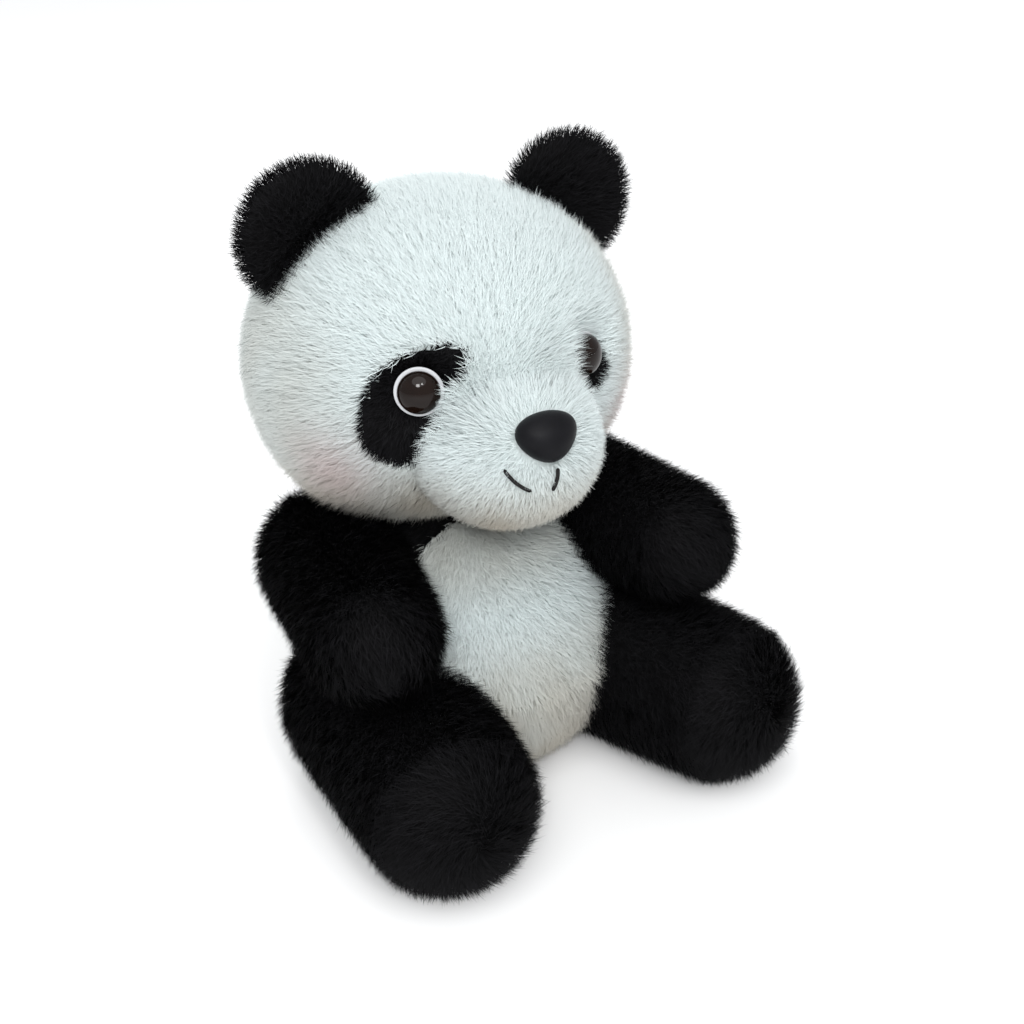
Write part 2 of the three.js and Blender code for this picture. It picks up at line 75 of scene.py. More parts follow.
def waves(p, size, seed):
    """A soft uneven value, mostly between -1 and 1: six sine waves of about this length, each in its
    own direction, added and divided by three."""
    g = np.random.default_rng(seed)
    total = 0
    for _ in range(6):
        k = unit(g.normal(size=3)) * 2 * math.pi / (size * g.uniform(0.7, 1.5))
        total = total + np.sin(p @ k + g.uniform(0, 6.28))
    return total / 3.0


# ---- dimensions shared with the CAD -------------------------------------------------------------
HEAD_C = arr(0, 4, 140.5)
HEAD_R = arr(63, 56, 53.5)
NECK_C = arr(0, 2, 0)
HEAD_TURN = math.radians(-7)
MUZZLE_C = arr(0, -44, 124.5)
MUZZLE_R = arr(30.5, 30, 26)
MUZZLE_SEAM = 48.5   # from the head's centre to the muzzle's seam
CHEEK, CHEEK_WAY, CHEEK_SPREAD = 4, (0.77, -0.31, -0.56), 0.1
LIP_BACK, LIP_DROP, LIP_UP = 16, 5.5, arr(0, 0.25, 1)        # the seam over the chin panel
THROAT_DROP, THROAT_UP = 28.5, arr(0, 0.1, 1)                # the seam over the throat panel
GUSSET_HALF, THROAT_HALF = 12, 21
TO_MUZZLE = unit(MUZZLE_C - HEAD_C)
EYE_X, EYE_Z = 29.4, 148.3
SOCKET_R, SOCKET_DEPTH, EYE_SINK = 17, 5, 3.2
EYE_DOME_R, EYE_DOME_H, EYE_RING_R, EYE_RING_T = 6.6, 4.4, 7.6, 0.9
SHANK_R, SHANK_LEN = 1.6, 13
NOSE_Z, NOSE_W, NOSE_H, NOSE_T = 137.5, 19, 15.5, 6.5
EAR_ANGLE = {"right": math.radians(47), "left": math.radians(40)}
EAR_OUT = {"right": 3, "left": 5.5}
EAR_R, EAR_T = 23, 6.2
TORSO_C = arr(0, -10, 38)
TORSO_W, TORSO_FRONT, TORSO_BACK, TORSO_UP, TORSO_DOWN = 57, 53, 44, 58, 46
TORSO_LEAN, TORSO_NARROW, TORSO_ROUND = 0.12, 0.3, 0.8
TORSO_REACH = 48     # about the mean of its front and back depths
NECK_Z = 89
YOKE_Z, YOKE_Y, YOKE_SLOPE = 64, 12, 0.2     # the yoke's lower edge: its height at one depth
SEAT_EDGE = 7.5                              # the seat panel lies below this
BIB_HALF, BIB_BACK, BIB_SLOPE = 17, -20, 0.9
SHOULDER, ARM_R0, ARM_R1 = arr(45, 3, 73.6), 20.8, 20.4
PAW = {"right": arr(62, -52, 79.5), "left": arr(51, -59, 78)}
HIP, LEG_R = arr(43, -16, 26.6), 27.6
SOLE_IN = 9          # the sole's seam, beyond the middle of the foot's end
FOOT = {"right": arr(53, -75, 26.6), "left": arr(52, -83, 26.6)}
TAIL_C, TAIL_R = arr(0, 33, 20), arr(11, 13, 10)
BACKING = 2.6        # the cloth that the pile stands on lies this far inside the CAD surface
FLOOR = 0.35         # the lowest that any fibre reaches
CLOTH_LOW = 1.0      # the lowest that the cloth reaches
SIDES = (("right", -1), ("left", 1))


def mirror(v, side):
    return v * arr(side, 1, 1)


def turned_head(v, about=NECK_C, turn=HEAD_TURN):
    """Points of the head as shaped, turned about the neck to where the head looks."""
    c, s = math.cos(turn), math.sin(turn)
    x, y, z = np.moveaxis(v - about, -1, 0)
    return np.stack([x * c - y * s, x * s + y * c, z], -1) + about


def unturned_head(p):
    return turned_head(p, turn=-HEAD_TURN)


# ---- forms --------------------------------------------------------------------------------------
class Form:
    """A closed surface from two parameters: u goes round once, v from one pole to the other."""

    def __init__(self, at, centre):
        self.at = at
        self.centre = centre

    def frame(self, u, v):
        """Points, outward normals and area per unit of u and v, from small steps in u and v."""
        e = 1e-3
        p = self.at(u, v)
        du = (self.at(u + e, v) - self.at(u - e, v)) / (2 * e)
        low, high = np.clip(v - e, 0, 1), np.clip(v + e, 0, 1)
        dv = (self.at(u, high) - self.at(u, low)) / (high - low)[:, None]
        c = np.cross(du, dv)
        n = unit(c)
        out = unit(p - (self.centre(p) if callable(self.centre) else self.centre))
        return p, n * np.sign(dot(n, out) + 1e-9), np.linalg.norm(c, axis=1)

    def scatter(self, per_mm2):
        """Random points spread evenly over the surface, this many to the square millimetre."""
        u, v = rng.random(60000), rng.random(60000)
        area = self.frame(u, v)[2]
        top, mean = np.percentile(area, 99.8), area.mean()
        wanted = int(mean * per_mm2 * FULL)
        tries = int(wanted * top / mean * 1.02)
        u, v = rng.random(tries), rng.random(tries)
        p, n, a = self.frame(u, v)
        keep = rng.random(tries) * top < a
        return p[keep], n[keep]

    def skin(self, nu, nv):
        """The surface as a mesh: a pole, nv - 1 rings of nu points, and a pole."""
        v, u = np.meshgrid(np.arange(1, nv) / nv, np.arange(nu) / nu, indexing="ij")
        ends = self.at(np.zeros(2), arr(0, 1))
        points = np.vstack([ends[:1], self.at(u.ravel(), v.ravel()), ends[1:]])
        ring = 1 + np.arange(nu) + nu * np.arange(nv - 1)[:, None]
        after = np.roll(ring, -1, axis=1)
        last = len(points) - 1
        tris = [np.stack([np.zeros(nu, int), ring[0], after[0]], 1),
                np.stack([np.full(nu, last), after[-1], ring[-1]], 1)]
        a, b, c, d = ring[:-1].ravel(), after[:-1].ravel(), after[1:].ravel(), ring[1:].ravel()
        tris += [np.stack([a, d, c], 1), np.stack([a, c, b], 1)]
        tris = np.vstack(tris)
        p = points[tris]
        n = np.cross(p[:, 1] - p[:, 0], p[:, 2] - p[:, 0])
        mid = p.mean(1)
        out = mid - (self.centre(mid) if callable(self.centre) else self.centre)
        wrong = (n * out).sum(1).sum() < 0
        return points, tris[:, ::-1] if wrong else tris


def ball(u, v):
    """Directions of a sphere: u turns about Z, v goes from the top pole to the bottom one."""
    a, t = 2 * math.pi * u, math.pi * v
    return np.stack([np.sin(t) * np.cos(a), np.sin(t) * np.sin(a), np.cos(t)], -1)


def soft_max(a, b, k):
    """The larger of two lengths, with the crease between them filled over a width of k."""
    h = np.clip(0.5 + 0.5 * (a - b) / k, 0, 1)
    return b + (a - b) * h + k * h * (1 - h)


SOCKETS = []      # centre of each eye's hollow from the head's centre, and how much wider it is
MUZZLE_BLEND, SOCKET_BLEND = 5.0, 2.5
NO_HIT = 1e3      # the distance to a hollow that a ray misses


def head_radius(d, inset=BACKING):
    """Distance from the head's centre to its surface in each direction: an ellipsoid, with a cheek
    swelling on each side, joined smoothly with the muzzle's ellipsoid where the ray leaves it, less a
    shallow hollow at each eye."""
    r = 1 / np.linalg.norm(d / (HEAD_R - inset), axis=-1)
    cheek = np.abs(d[..., 0]) * CHEEK_WAY[0] + d[..., 1] * CHEEK_WAY[1] + d[..., 2] * CHEEK_WAY[2]
    r = r + CHEEK * np.exp(-(1 - cheek) / CHEEK_SPREAD)
    s, c = d / (MUZZLE_R - inset), (MUZZLE_C - HEAD_C) / (MUZZLE_R - inset)
    a, b, k = (s * s).sum(-1), (s * c).sum(-1), (c * c).sum() - 1
    root = b * b - a * k
    far = np.where(root > 0, (b + np.sqrt(np.maximum(root, 0))) / a, 0)
    r = soft_max(far, r, MUZZLE_BLEND)
    for s, wider in SOCKETS:
        b = d @ s
        root = b * b - ((s * s).sum() - (SOCKET_R + wider) ** 2)
        near = np.where((root > 0) & (b > 0), b - np.sqrt(np.maximum(root, 0)), NO_HIT)
        r = -soft_max(-r, -near, SOCKET_BLEND)
    return r


def head_at(u, v):
    """The head's centre plus each direction times the head's radius in it."""
    d = ball(u, v)
    return HEAD_C + d * head_radius(d)[..., None]


def torso_at(u, v, inset=BACKING):
    """A pear: a sphere's rings are drawn in towards the neck and the flat seat is cut level."""
    d = ball(u, v)
    flat = np.maximum(np.hypot(d[..., 0], d[..., 1]), 1e-6)
    rise = np.maximum(d[..., 2], 0)
    r = flat ** TORSO_ROUND * (1 - TORSO_NARROW * rise) / flat
    deep = np.where(d[..., 1] < 0, TORSO_FRONT, TORSO_BACK) - inset
    height = np.where(d[..., 2] > 0, TORSO_UP, TORSO_DOWN) - inset
    x = TORSO_C[0] + d[..., 0] * r * (TORSO_W - inset)
    y = TORSO_C[1] + d[..., 1] * r * deep + TORSO_LEAN * height * rise
    z = TORSO_C[2] + d[..., 2] * height
    return np.stack([x, y, np.maximum(z, CLOTH_LOW)], -1)


def torso_depth(p):
    """How far each point lies inside the torso, roughly."""
    height = np.where(p[:, 2] > TORSO_C[2], TORSO_UP, TORSO_DOWN) - BACKING
    c = np.clip((p[:, 2] - TORSO_C[2]) / height, -1, 1)
    ring = np.maximum(1 - c * c, 1e-4) ** (TORSO_ROUND / 2) * (1 - TORSO_NARROW * np.maximum(c, 0))
    y = p[:, 1] - TORSO_C[1] - TORSO_LEAN * height * np.maximum(c, 0)
    deep = np.where(y < 0, TORSO_FRONT, TORSO_BACK) - BACKING
    reach = np.hypot(p[:, 0] / (TORSO_W - BACKING), y / deep)
    return (ring - reach) * TORSO_REACH


def head_depth(p):
    """How far each point of the head as shaped lies inside it."""
    d = p - HEAD_C
    far = np.linalg.norm(d, axis=1)
    return head_radius(d / far[:, None]) - far


class Limb(Form):
    """Two spheres and the cone between them, from root to end."""

    def __init__(self, a, b, r0, r1):
        self.a, self.b, self.r0, self.r1 = a, b, r0 - BACKING, r1 - BACKING
        self.length = np.linalg.norm(b - a)
        self.axis = unit(b - a)
        self.side = unit(np.cross(self.axis, arr(0, 0, 1)))
        self.up = np.cross(self.side, self.axis)
        super().__init__(self.point, self.spine)

    def spine(self, p):
        t = np.clip((p - self.a) @ self.axis, 0, self.length)
        return self.a + t[:, None] * self.axis

    def point(self, u, v):
        """v runs over the root's cap for its first quarter, the cone for the next two and the end's
        cap for the last; u turns round the axis."""
        cap0 = np.clip(v / 0.25, 0, 1) * math.pi / 2
        mid = np.clip((v - 0.25) / 0.5, 0, 1)
        cap1 = np.clip((v - 0.75) / 0.25, 0, 1) * math.pi / 2
        r = np.where(v < 0.75, self.r0 + (self.r1 - self.r0) * mid, self.r1)
        r = np.where(v < 0.25, self.r0 * np.sin(cap0), r * np.where(v > 0.75, np.cos(cap1), 1))
        s = -self.r0 * np.cos(cap0) + self.length * mid + self.r1 * np.sin(cap1)
        a = 2 * math.pi * u
        p = (self.a + s[:, None] * self.axis
             + (r * np.cos(a))[:, None] * self.side + (r * np.sin(a))[:, None] * self.up)
        p[:, 2] = np.maximum(p[:, 2], CLOTH_LOW)
        return p

    def depth(self, p):
        """How far each point lies inside the limb."""
        t = np.clip((p - self.a) @ self.axis / self.length, 0, 1)
        near = self.a + t[:, None] * (self.b - self.a)
        return self.r0 + (self.r1 - self.r0) * t - np.linalg.norm(p - near, axis=1)


def ear_form(side):
    """A lens that thins towards its root, with its face hollowed a little."""
    word = "right" if side < 0 else "left"
    angle = EAR_ANGLE[word]
    out = arr(side * math.cos(angle), 0, math.sin(angle))
    along = arr(math.sin(angle), 0, -side * math.cos(angle))
    root = 1 / math.hypot(out[0] / HEAD_R[0], out[2] / HEAD_R[2])
    c = HEAD_C + out * (root + EAR_OUT[word])

    def at(u, v):
        d = ball(u, v)
        r = EAR_R - 1.5
        h, w = r * d[..., 2], r * d[..., 0]
        thick = EAR_T * np.clip(0.5 + (h + 8) / 26, 0.42, 1) - 0.8
        y = thick * d[..., 1] + np.where(d[..., 1] < 0, 2.4 * bell(np.hypot(w, h - 2) / 15), 0)
        return c + h[..., None] * out + w[..., None] * along + y[..., None] * arr(0, 1, 0)

    return Form(at, c), out, c


def on_ellipsoid(c, r, x, z):
    """The front of an ellipsoid at x and z, and its normal there."""
    k = 1 - ((x - c[0]) / r[0]) ** 2 - ((z - c[2]) / r[2]) ** 2
    at = np.stack([x + 0 * k, c[1] - r[1] * np.sqrt(np.maximum(k, 0)), z + 0 * k], -1)
    return at, unit((at - c) / r ** 2)


def axes_at(normal):
    """Across and up in the plane of a face, as seen from outside: u to the toy's left, v up."""
    u = unit(np.cross(arr(0, 0, 1), normal))
    return u, np.cross(normal, u)


EYES = {}
for word, side in SIDES:
    at, normal = on_ellipsoid(HEAD_C, HEAD_R, side * EYE_X, EYE_Z)
    EYES[word] = (at, normal, *axes_at(normal))
    SOCKETS.append((at + normal * (SOCKET_R - SOCKET_DEPTH) - HEAD_C, BACKING))
NOSE_AT, NOSE_N = on_ellipsoid(MUZZLE_C, MUZZLE_R, 0, NOSE_Z)
NOSE_U = arr(1, 0, 0)
NOSE_V = np.cross(NOSE_N, NOSE_U)

# The outline of the patch round the eye, with the outer side towards -u.
PATCH = arr((14, 10.5), (8.5, 13), (2, 12), (-5, 10.2), (-11, 6), (-15.5, -1), (-17.5, -10),
            (-17, -15.5), (-14, -19.5), (-8.5, -22.5), (-2, -22.5), (2.5, -19.5), (5.5, -13),
            (7, -7.5), (9, -3.5), (13, 3.8))
# The pile round the left patch is brushed further over it.
SHOWN = {"right": arr(1, 1), "left": arr(0.62, 0.55)}


def smooth_loop(points, n):
    """A closed curve through the points (Catmull-Rom), n steps to each."""
    a, b = np.roll(points, 1, 0), points
    c, d = np.roll(points, -1, 0), np.roll(points, -2, 0)
    t = (np.arange(n) / n)[None, :, None]
    a, b, c, d = (q[:, None, :] for q in (a, b, c, d))
    out = 0.5 * (2 * b + (c - a) * t + (2 * a - 5 * b + 4 * c - d) * t ** 2
                 + (3 * b - a - 3 * c + d) * t ** 3)
    return out.reshape(-1, points.shape[1])


PATCH_LOOP = smooth_loop(PATCH, 3)


def inside_loop(q, loop):
    """True where a flat point is inside a closed outline: the crossings of a level ray are odd."""
    hit = np.zeros(len(q), bool)
    for (x0, y0), (x1, y1) in zip(loop, np.roll(loop, -1, 0)):
        if y0 == y1:
            continue
        cross = (y0 > q[:, 1]) != (y1 > q[:, 1])
        hit ^= cross & (q[:, 0] < (x1 - x0) * (q[:, 1] - y0) / (y1 - y0) + x0)
    return hit


def in_patch(p, word, side):
    """On the front of the head, outside the gusset and inside the patch's outline as it shows."""
    at, normal, u, v = EYES[word]
    q = p - at
    flat = np.stack([q @ u * -side, q @ v], 1)
    front = (q @ normal > -20) & (p[:, 0] * side > GUSSET_HALF)
    return inside_loop(flat / SHOWN[word], PATCH_LOOP) & front


# ---- pile ---------------------------------------------------------------------------------------
TWIST = np.linalg.qr(np.random.default_rng(3).normal(size=(3, 3)))[0]   # the tufts' cells lie askew
CELL_KEYS = (73856093, 19349663, 83492791)     # large primes, which give each cell its own number


def grow(p, n, flow, length, lean, width=0.22, tuft=2.2, gather=0.2, wild=0.5, roll=0.9):
    """Fibres as narrow tapering blades of five points: two at the root, two at the bend, one tip.
    Each leans from the normal towards the flow, is turned a little at random, and its tip is drawn
    part of the way to the mean tip of its tuft, which is the fibres in one small cell."""
    m = len(p)
    side = np.cross(n, flow)
    turn = rng.normal(0, wild, m)[:, None]
    f = flow * np.cos(turn) + side * np.sin(turn)
    lean = np.clip(lean + rng.normal(0, 0.14, m), 0.05, 1.45)[:, None]
    length = (length * np.clip(rng.normal(1, 0.16, m), 0.45, 1.5))[:, None]
    first = n * np.cos(lean * 0.75) + f * np.sin(lean * 0.75)
    second = n * np.cos(lean * 1.25) + f * np.sin(lean * 1.25)
    bend = p + first * length * 0.5
    tip = bend + second * length * 0.5
    cell = np.floor((p + rng.normal(0, 0.35, (m, 3))) @ TWIST / tuft).astype(np.int64)
    key = (cell[:, 0] * CELL_KEYS[0]) ^ (cell[:, 1] * CELL_KEYS[1]) ^ (cell[:, 2] * CELL_KEYS[2])
    _, who = np.unique(key, return_inverse=True)
    count = np.bincount(who)
    mean = np.stack([np.bincount(who, (tip - p)[:, k]) / count for k in range(3)], 1)[who]
    root = np.stack([np.bincount(who, p[:, k]) / count for k in range(3)], 1)[who]
    pull = (gather * np.clip(rng.normal(1, 0.3, m), 0, 1.6))[:, None]
    tip = tip + (root + mean - tip) * pull
    bend = bend + (root + mean * 0.5 - bend) * pull * 0.35
    spin = rng.uniform(-roll, roll, m)[:, None]
    d = unit(tip - p)
    across = unit(np.cross(d, n))
    across = across * np.cos(spin) + np.cross(d, across) * np.sin(spin)
    w = width * rng.uniform(0.7, 1.25, m)[:, None] / 2
    points = np.stack([p - across * w, p + across * w, bend - across * w * 0.8,
                       bend + across * w * 0.8, tip], 1)
    points[..., 2] = np.maximum(points[..., 2], FLOOR)
    face = np.cross(across, d)
    face = face * np.sign(dot(face, n) + 1e-9)
    shade = unit(n + face * 0.16 + f * 0.08)
    return dict(points=points, shade=shade, lot=rng.random(m), root=p)


def place_mesh(name, me, material, body, nodes):
    """Puts a mesh in the scene on its body, in place of the solids that it stands for."""
    me.materials.append(material)
    o = bpy.data.objects.new(name, me)
    bpy.context.scene.collection.objects.link(o)
    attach(o, body)
    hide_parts(*nodes)
    return o


def piece(name, skin, fibres, material, body, nodes, paint=None):
    """One pile panel as a mesh: its cloth, then its fibres, with the values its material reads."""
    sp, st, sn = skin
    m = len(fibres["points"])
    pts = np.vstack([sp, fibres["points"].reshape(-1, 3)])
    base = len(sp) + 5 * np.arange(m)[:, None]
    blades = np.vstack([base + [0, 1, 3], base + [0, 3, 2], base + [2, 3, 4]])
    tris = np.vstack([st, blades])
    me = bpy.data.meshes.new(name)
    me.vertices.add(len(pts))
    of_head = body == "head" or body.startswith("ear_")
    placed = turned_head(pts) if of_head else pts
    placed[..., 2] = np.maximum(placed[..., 2], FLOOR)
    me.vertices.foreach_set("co", (placed * MM).astype(np.float32).ravel())
    me.loops.add(3 * len(tris))
    me.loops.foreach_set("vertex_index", tris.astype(np.int32).ravel())
    me.polygons.add(len(tris))
    me.polygons.foreach_set("loop_start", (3 * np.arange(len(tris))).astype(np.int32))
    me.update(calc_edges=True)
    tip = np.concatenate([np.zeros(len(sp)), np.tile([0, 0, 0.5, 0.5, 1.0], m)])
    lot = np.concatenate([np.full(len(sp), 0.5), np.repeat(fibres["lot"], 5)])
    where = np.vstack([sp, np.repeat(fibres["root"], 5, axis=0)])
    values = {"tip": tip, "lot": lot}
    for key, fn in (paint or {}).items():
        values[key] = fn(where)
    for key, value in values.items():
        me.attributes.new(key, "FLOAT", "POINT").data.foreach_set("value", value.astype(np.float32))
    normals = np.vstack([sn, np.repeat(fibres["shade"], 5, axis=0)])
    normals = turned_head(normals, about=arr(0, 0, 0)) if of_head else normals
    me.polygons.foreach_set("use_smooth", np.ones(len(tris), bool))
    me.normals_split_custom_set_from_vertices(normals.astype(np.float32))
    place_mesh(name, me, material, body, nodes)


def part_of(points, tris, chosen):
    """The chosen triangles of a skin with their own points and outward normals."""
    t = tris[chosen]
    used, index = np.unique(t, return_inverse=True)
    p = points[used]
    q = points[tris]
    fn = np.cross(q[:, 1] - q[:, 0], q[:, 2] - q[:, 0])
    n = np.zeros_like(points)
    for k in range(3):
        np.add.at(n, tris[:, k], fn)
    return p, index.reshape(-1, 3), unit(n[used])


# ---- shader maths -------------------------------------------------------------------------------
class Value:
    """A shader socket that adds and multiplies like a number."""

    def __init__(self, kit, socket):
        self.kit, self.socket = kit, socket

    def _math(self, op, a, b):
        return self.kit.node("ShaderNodeMath", {"operation": op}, [a, b])

    def __add__(self, o): return self._math("ADD", self, o)
    def __radd__(self, o): return self._math("ADD", o, self)
    def __sub__(self, o): return self._math("SUBTRACT", self, o)
    def __rsub__(self, o): return self._math("SUBTRACT", o, self)
    def __mul__(self, o): return self._math("MULTIPLY", self, o)
    def __rmul__(self, o): return self._math("MULTIPLY", o, self)
    def __pow__(self, o): return self._math("POWER", self, o)


class Kit:
    """Builds one material's nodes."""

    def __init__(self, name, **constants):
        self.mat = bpy.data.materials.new(name)
        self.mat.use_nodes = True
        self.tree = self.mat.node_tree
        self.shader = self.tree.nodes["Principled BSDF"]
        for key, value in constants.items():
            self.shader.inputs[key.replace("_", " ")].default_value = value

    def node(self, kind, settings=None, inputs=(), out=0):
        n = self.tree.nodes.new(kind)
        for key, value in (settings or {}).items():
            setattr(n, key, value)
        items = inputs.items() if isinstance(inputs, dict) else enumerate(inputs)
        for key, value in items:
            self.feed(n.inputs[key], value)
        return Value(self, n.outputs[out])

    def feed(self, socket, value):
        if isinstance(value, Value):
            self.tree.links.new(value.socket, socket)
        elif isinstance(value, (tuple, list)) and len(value) == 3 and socket.type == "RGBA":
            socket.default_value = (*value, 1)
        else:
            socket.default_value = value

    def attribute(self, name):
        return self.node("ShaderNodeAttribute", {"attribute_name": name}, out="Fac")

    def place(self):
        return self.node("ShaderNodeTexCoord", out="Object")

    def noise(self, scale, detail=3, rough=0.5):
        """Noise on object coordinates, in features to the metre."""
        return self.node("ShaderNodeTexNoise", {}, {"Vector": self.place(), "Scale": scale,
                         "Detail": detail, "Roughness": rough}, out="Fac")

    def mix(self, factor, a, b):
        return self.node("ShaderNodeMix", {"data_type": "RGBA"}, {0: factor, 6: a, 7: b}, out=2)

    def scaled(self, colour, factor):
        return self.node("ShaderNodeVectorMath", {"operation": "SCALE"}, {0: colour, 3: factor})

    def set(self, **values):
        for key, value in values.items():
            self.feed(self.shader.inputs[key.replace("_", " ")], value)
        return self.mat

    def bump(self, height, distance, strength=0.5):
        return self.node("ShaderNodeBump", {}, {"Strength": strength, "Distance": distance,
                         "Height": height}, out="Normal")


def white_pile(name):
    """White pile: a little greyer at the root, bright at the tip, tinted from painted-on values: pink
    on the cheeks, and a creamy tint with painted shade mixed in under the chin, on the outer cheeks,
    below the head and low on the belly.
    """
    k = Kit(name, Roughness=0.8, Specular_IOR_Level=0.15, Sheen_Weight=0.2, Sheen_Roughness=0.7)
    tip, lot = k.attribute("tip"), k.attribute("lot")
    colour = k.mix(tip ** 0.6, (0.67, 0.74, 0.735), (0.78, 0.865, 0.865))
    # Painted shade: a dark creamy beige is mixed in where shade falls, under the chin, on the outer
    # cheeks, below the head and low on the belly, along with the pile's own creamy tint.
    colour = k.mix(k.attribute("cream_and_shade"), colour, (0.47, 0.41, 0.32))
    colour = k.mix(k.attribute("blush"), colour, (0.60, 0.42, 0.40))
    return k.set(Base_Color=k.scaled(colour, lot * 0.06 + k.noise(160) * 0.05 + 0.91))


def black_pile(name):
    """Black pile: near black, with a few fibres and the tips a little greyer."""
    k = Kit(name, Roughness=0.7, Specular_IOR_Level=0.09)
    tip, lot = k.attribute("tip"), k.attribute("lot")
    colour = k.mix(tip * (0.2 + 0.8 * lot ** 3), (0.0015, 0.0015, 0.0018), (0.016, 0.0156, 0.018))
    return k.set(Base_Color=k.scaled(colour, 0.7 + k.noise(140) * 0.6))


def eye_plastic():
    """Polished black-brown dome, with the faint warm depth of moulded plastic."""
    k = Kit("eye_plastic", Roughness=0.07, Specular_IOR_Level=0.22)
    return k.set(Base_Color=k.mix(k.noise(220, 2), (0.004, 0.002, 0.0015), (0.012, 0.006, 0.004)))


def ring_plastic():
    """White moulded ring, a little cloudy."""
    k = Kit("ring_plastic", Roughness=0.35, Specular_IOR_Level=0.4)
    return k.set(Base_Color=k.mix(k.noise(300), (0.50, 0.51, 0.53), (0.62, 0.63, 0.65)))


def nose_plastic():
    """Matte black with a fine grain."""
    k = Kit("nose_plastic", Specular_IOR_Level=0.09)
    grain = k.noise(2600, 2)
    return k.set(Base_Color=k.mix(k.noise(200), (0.004, 0.004, 0.005), (0.010, 0.010, 0.012)),
                 Roughness=grain * 0.2 + 0.38, Normal=k.bump(grain, 0.00006, 0.35))


def thread(name, dark, light):
    """Sewing thread: fine slanting plies."""
    k = Kit(name, Roughness=0.8, Specular_IOR_Level=0.2)
    ply = k.node("ShaderNodeTexWave", {"bands_direction": "DIAGONAL"},
                 {"Vector": k.place(), "Scale": 900, "Distortion": 1.5}, out="Fac")
    return k.set(Base_Color=k.mix(ply, dark, light), Normal=k.bump(ply, 0.0001, 0.5))


def stuffing():
    """White fibre filling: cloudy, with lumps and a haze of fine hairs; greyer where the lumps dip,
    which is painted shade in the hollows.
    """
    k = Kit("polyester_stuffing", Roughness=0.95, Specular_IOR_Level=0.1, Sheen_Weight=0.4)
    lumps = k.noise(90, 6, 0.65)
    # Painted shade: the colour follows the lumps' height, grey in the hollows between lumps and white
    # on their tops.
    return k.set(Base_Color=k.mix(lumps, (0.70, 0.71, 0.70), (0.93, 0.93, 0.92)),
                 Normal=k.bump(lumps + k.noise(900, 4, 0.7) * 0.4, 0.002, 0.8))


def washer_plastic():
    """Plain moulded plastic with an uneven haze."""
    k = Kit("washer_plastic", Specular_IOR_Level=0.4)
    haze = k.noise(500, 2)
    return k.set(Base_Color=k.mix(haze, (0.62, 0.63, 0.65), (0.74, 0.75, 0.76)),
                 Roughness=haze * 0.15 + 0.38)


def pouch_cloth():
    """Plain weave: two crossed waves."""
    k = Kit("pouch_cloth", Roughness=0.9, Specular_IOR_Level=0.1)
    bands = [k.node("ShaderNodeTexWave", {"bands_direction": d}, {"Vector": k.place(), "Scale": 700},
                    out="Fac") for d in ("X", "Z")]
    weave = bands[0] * bands[1]
    return k.set(Base_Color=k.mix(weave, (0.60, 0.59, 0.52), (0.76, 0.75, 0.68)),
                 Normal=k.bump(weave, 0.0002, 0.6))


def pellets():
    """The pellets' rounded tops, as cells, light at each top and dark towards its edge: painted shade
    in the gaps between pellets.
    """
    k = Kit("pellets", Roughness=0.4, Specular_IOR_Level=0.45)
    cell = k.node("ShaderNodeTexVoronoi", {}, {"Vector": k.place(), "Scale": 380}, out="Distance")
    # Painted shade: each cell is light at its middle and darkens towards 0.45 at its edge, where the
    # gaps between pellets fall into shade.
    return k.set(Base_Color=k.mix(cell, (0.88, 0.88, 0.90), (0.45, 0.45, 0.47)),
                 Normal=k.bump(1 - cell, 0.001, 1.0))


WHITE = white_pile("white_pile")
BLACK = black_pile("black_pile")


def cream_and_shade(p):
    """A creamy tint with painted shade mixed in: under the chin, on the lower cheeks and the outer
    cheeks (most on the toy's left cheek, which faces away from the key light), below the neck, and
    darker towards the bottom of the belly."""
    of_head = p[:, 2] > NECK_Z - 1
    # Painted shade: chin is the creamy chin darkened where shade falls under it; outer paints shade
    # on the outer cheeks; low darkens the belly towards the bottom; collar paints the shade below the
    # head.
    chin = ramp(132, 106, p[:, 2]) * of_head
    outer = (0.7 * ramp(36, 58, p[:, 0]) + 0.35 * ramp(38, 60, -p[:, 0])) * of_head
    low = ramp(66, 26, p[:, 2]) * ~of_head
    collar = 0.5 * ramp(62, 86, p[:, 2]) * ~of_head
    most = np.maximum.reduce([0.85 * chin, outer, 0.9 * low, collar])
    return np.clip(most, 0, 1) * (0.85 + 0.15 * waves(p, 20, 5))


def blush(p):
    """A faint pink on each cheek."""
    d = [np.linalg.norm(p - arr(s * 49, -27, 122), axis=1) for s in (-1, 1)]
    return 0.6 * bell(np.minimum(*d) / 12)


PAINT = {"cream_and_shade": cream_and_shade, "blush": blush}


def furnish(form, grid, per_mm2, panels, length, lean, flow, drop=None, **style):
    """Grows a form's pile and shares skin and fibres out to its panels. A panel is (name, test,
    material, body, nodes, what differs from the form's own length, lean, flow and style)."""
    sp, st = form.skin(*grid)
    mid = sp[st].mean(1)
    p, n = form.scatter(per_mm2)
    if drop is not None:
        keep = ~drop(p)
        p, n = p[keep], n[keep]
    for name, test, material, body, nodes, more in panels:
        mine = test(p)
        look = {**style, **more}
        q, m = p[mine], n[mine]
        f = tangent(look.pop("flow", flow)(q), m)
        long = look.pop("length", length)
        low = look.pop("lean", lean)
        long = long(q) if callable(long) else np.full(len(q), long)
        low = low(q) if callable(low) else np.full(len(q), low)
        fibres = grow(q, m, f, long, low, **look)
        skin = part_of(sp, st, test(mid))
        piece(name, skin, fibres, material, body, nodes, paint=PAINT if material is WHITE else None)


def hard(name, points, tris, material, body, nodes):
    """A smooth moulded piece."""
    me = bpy.data.meshes.new(name)
    placed = turned_head(points) if body == "head" else points
    me.from_pydata((placed * MM).tolist(), [], tris.tolist())
    me.polygons.foreach_set("use_smooth", np.ones(len(tris), bool))
    place_mesh(name, me, material, body, nodes)


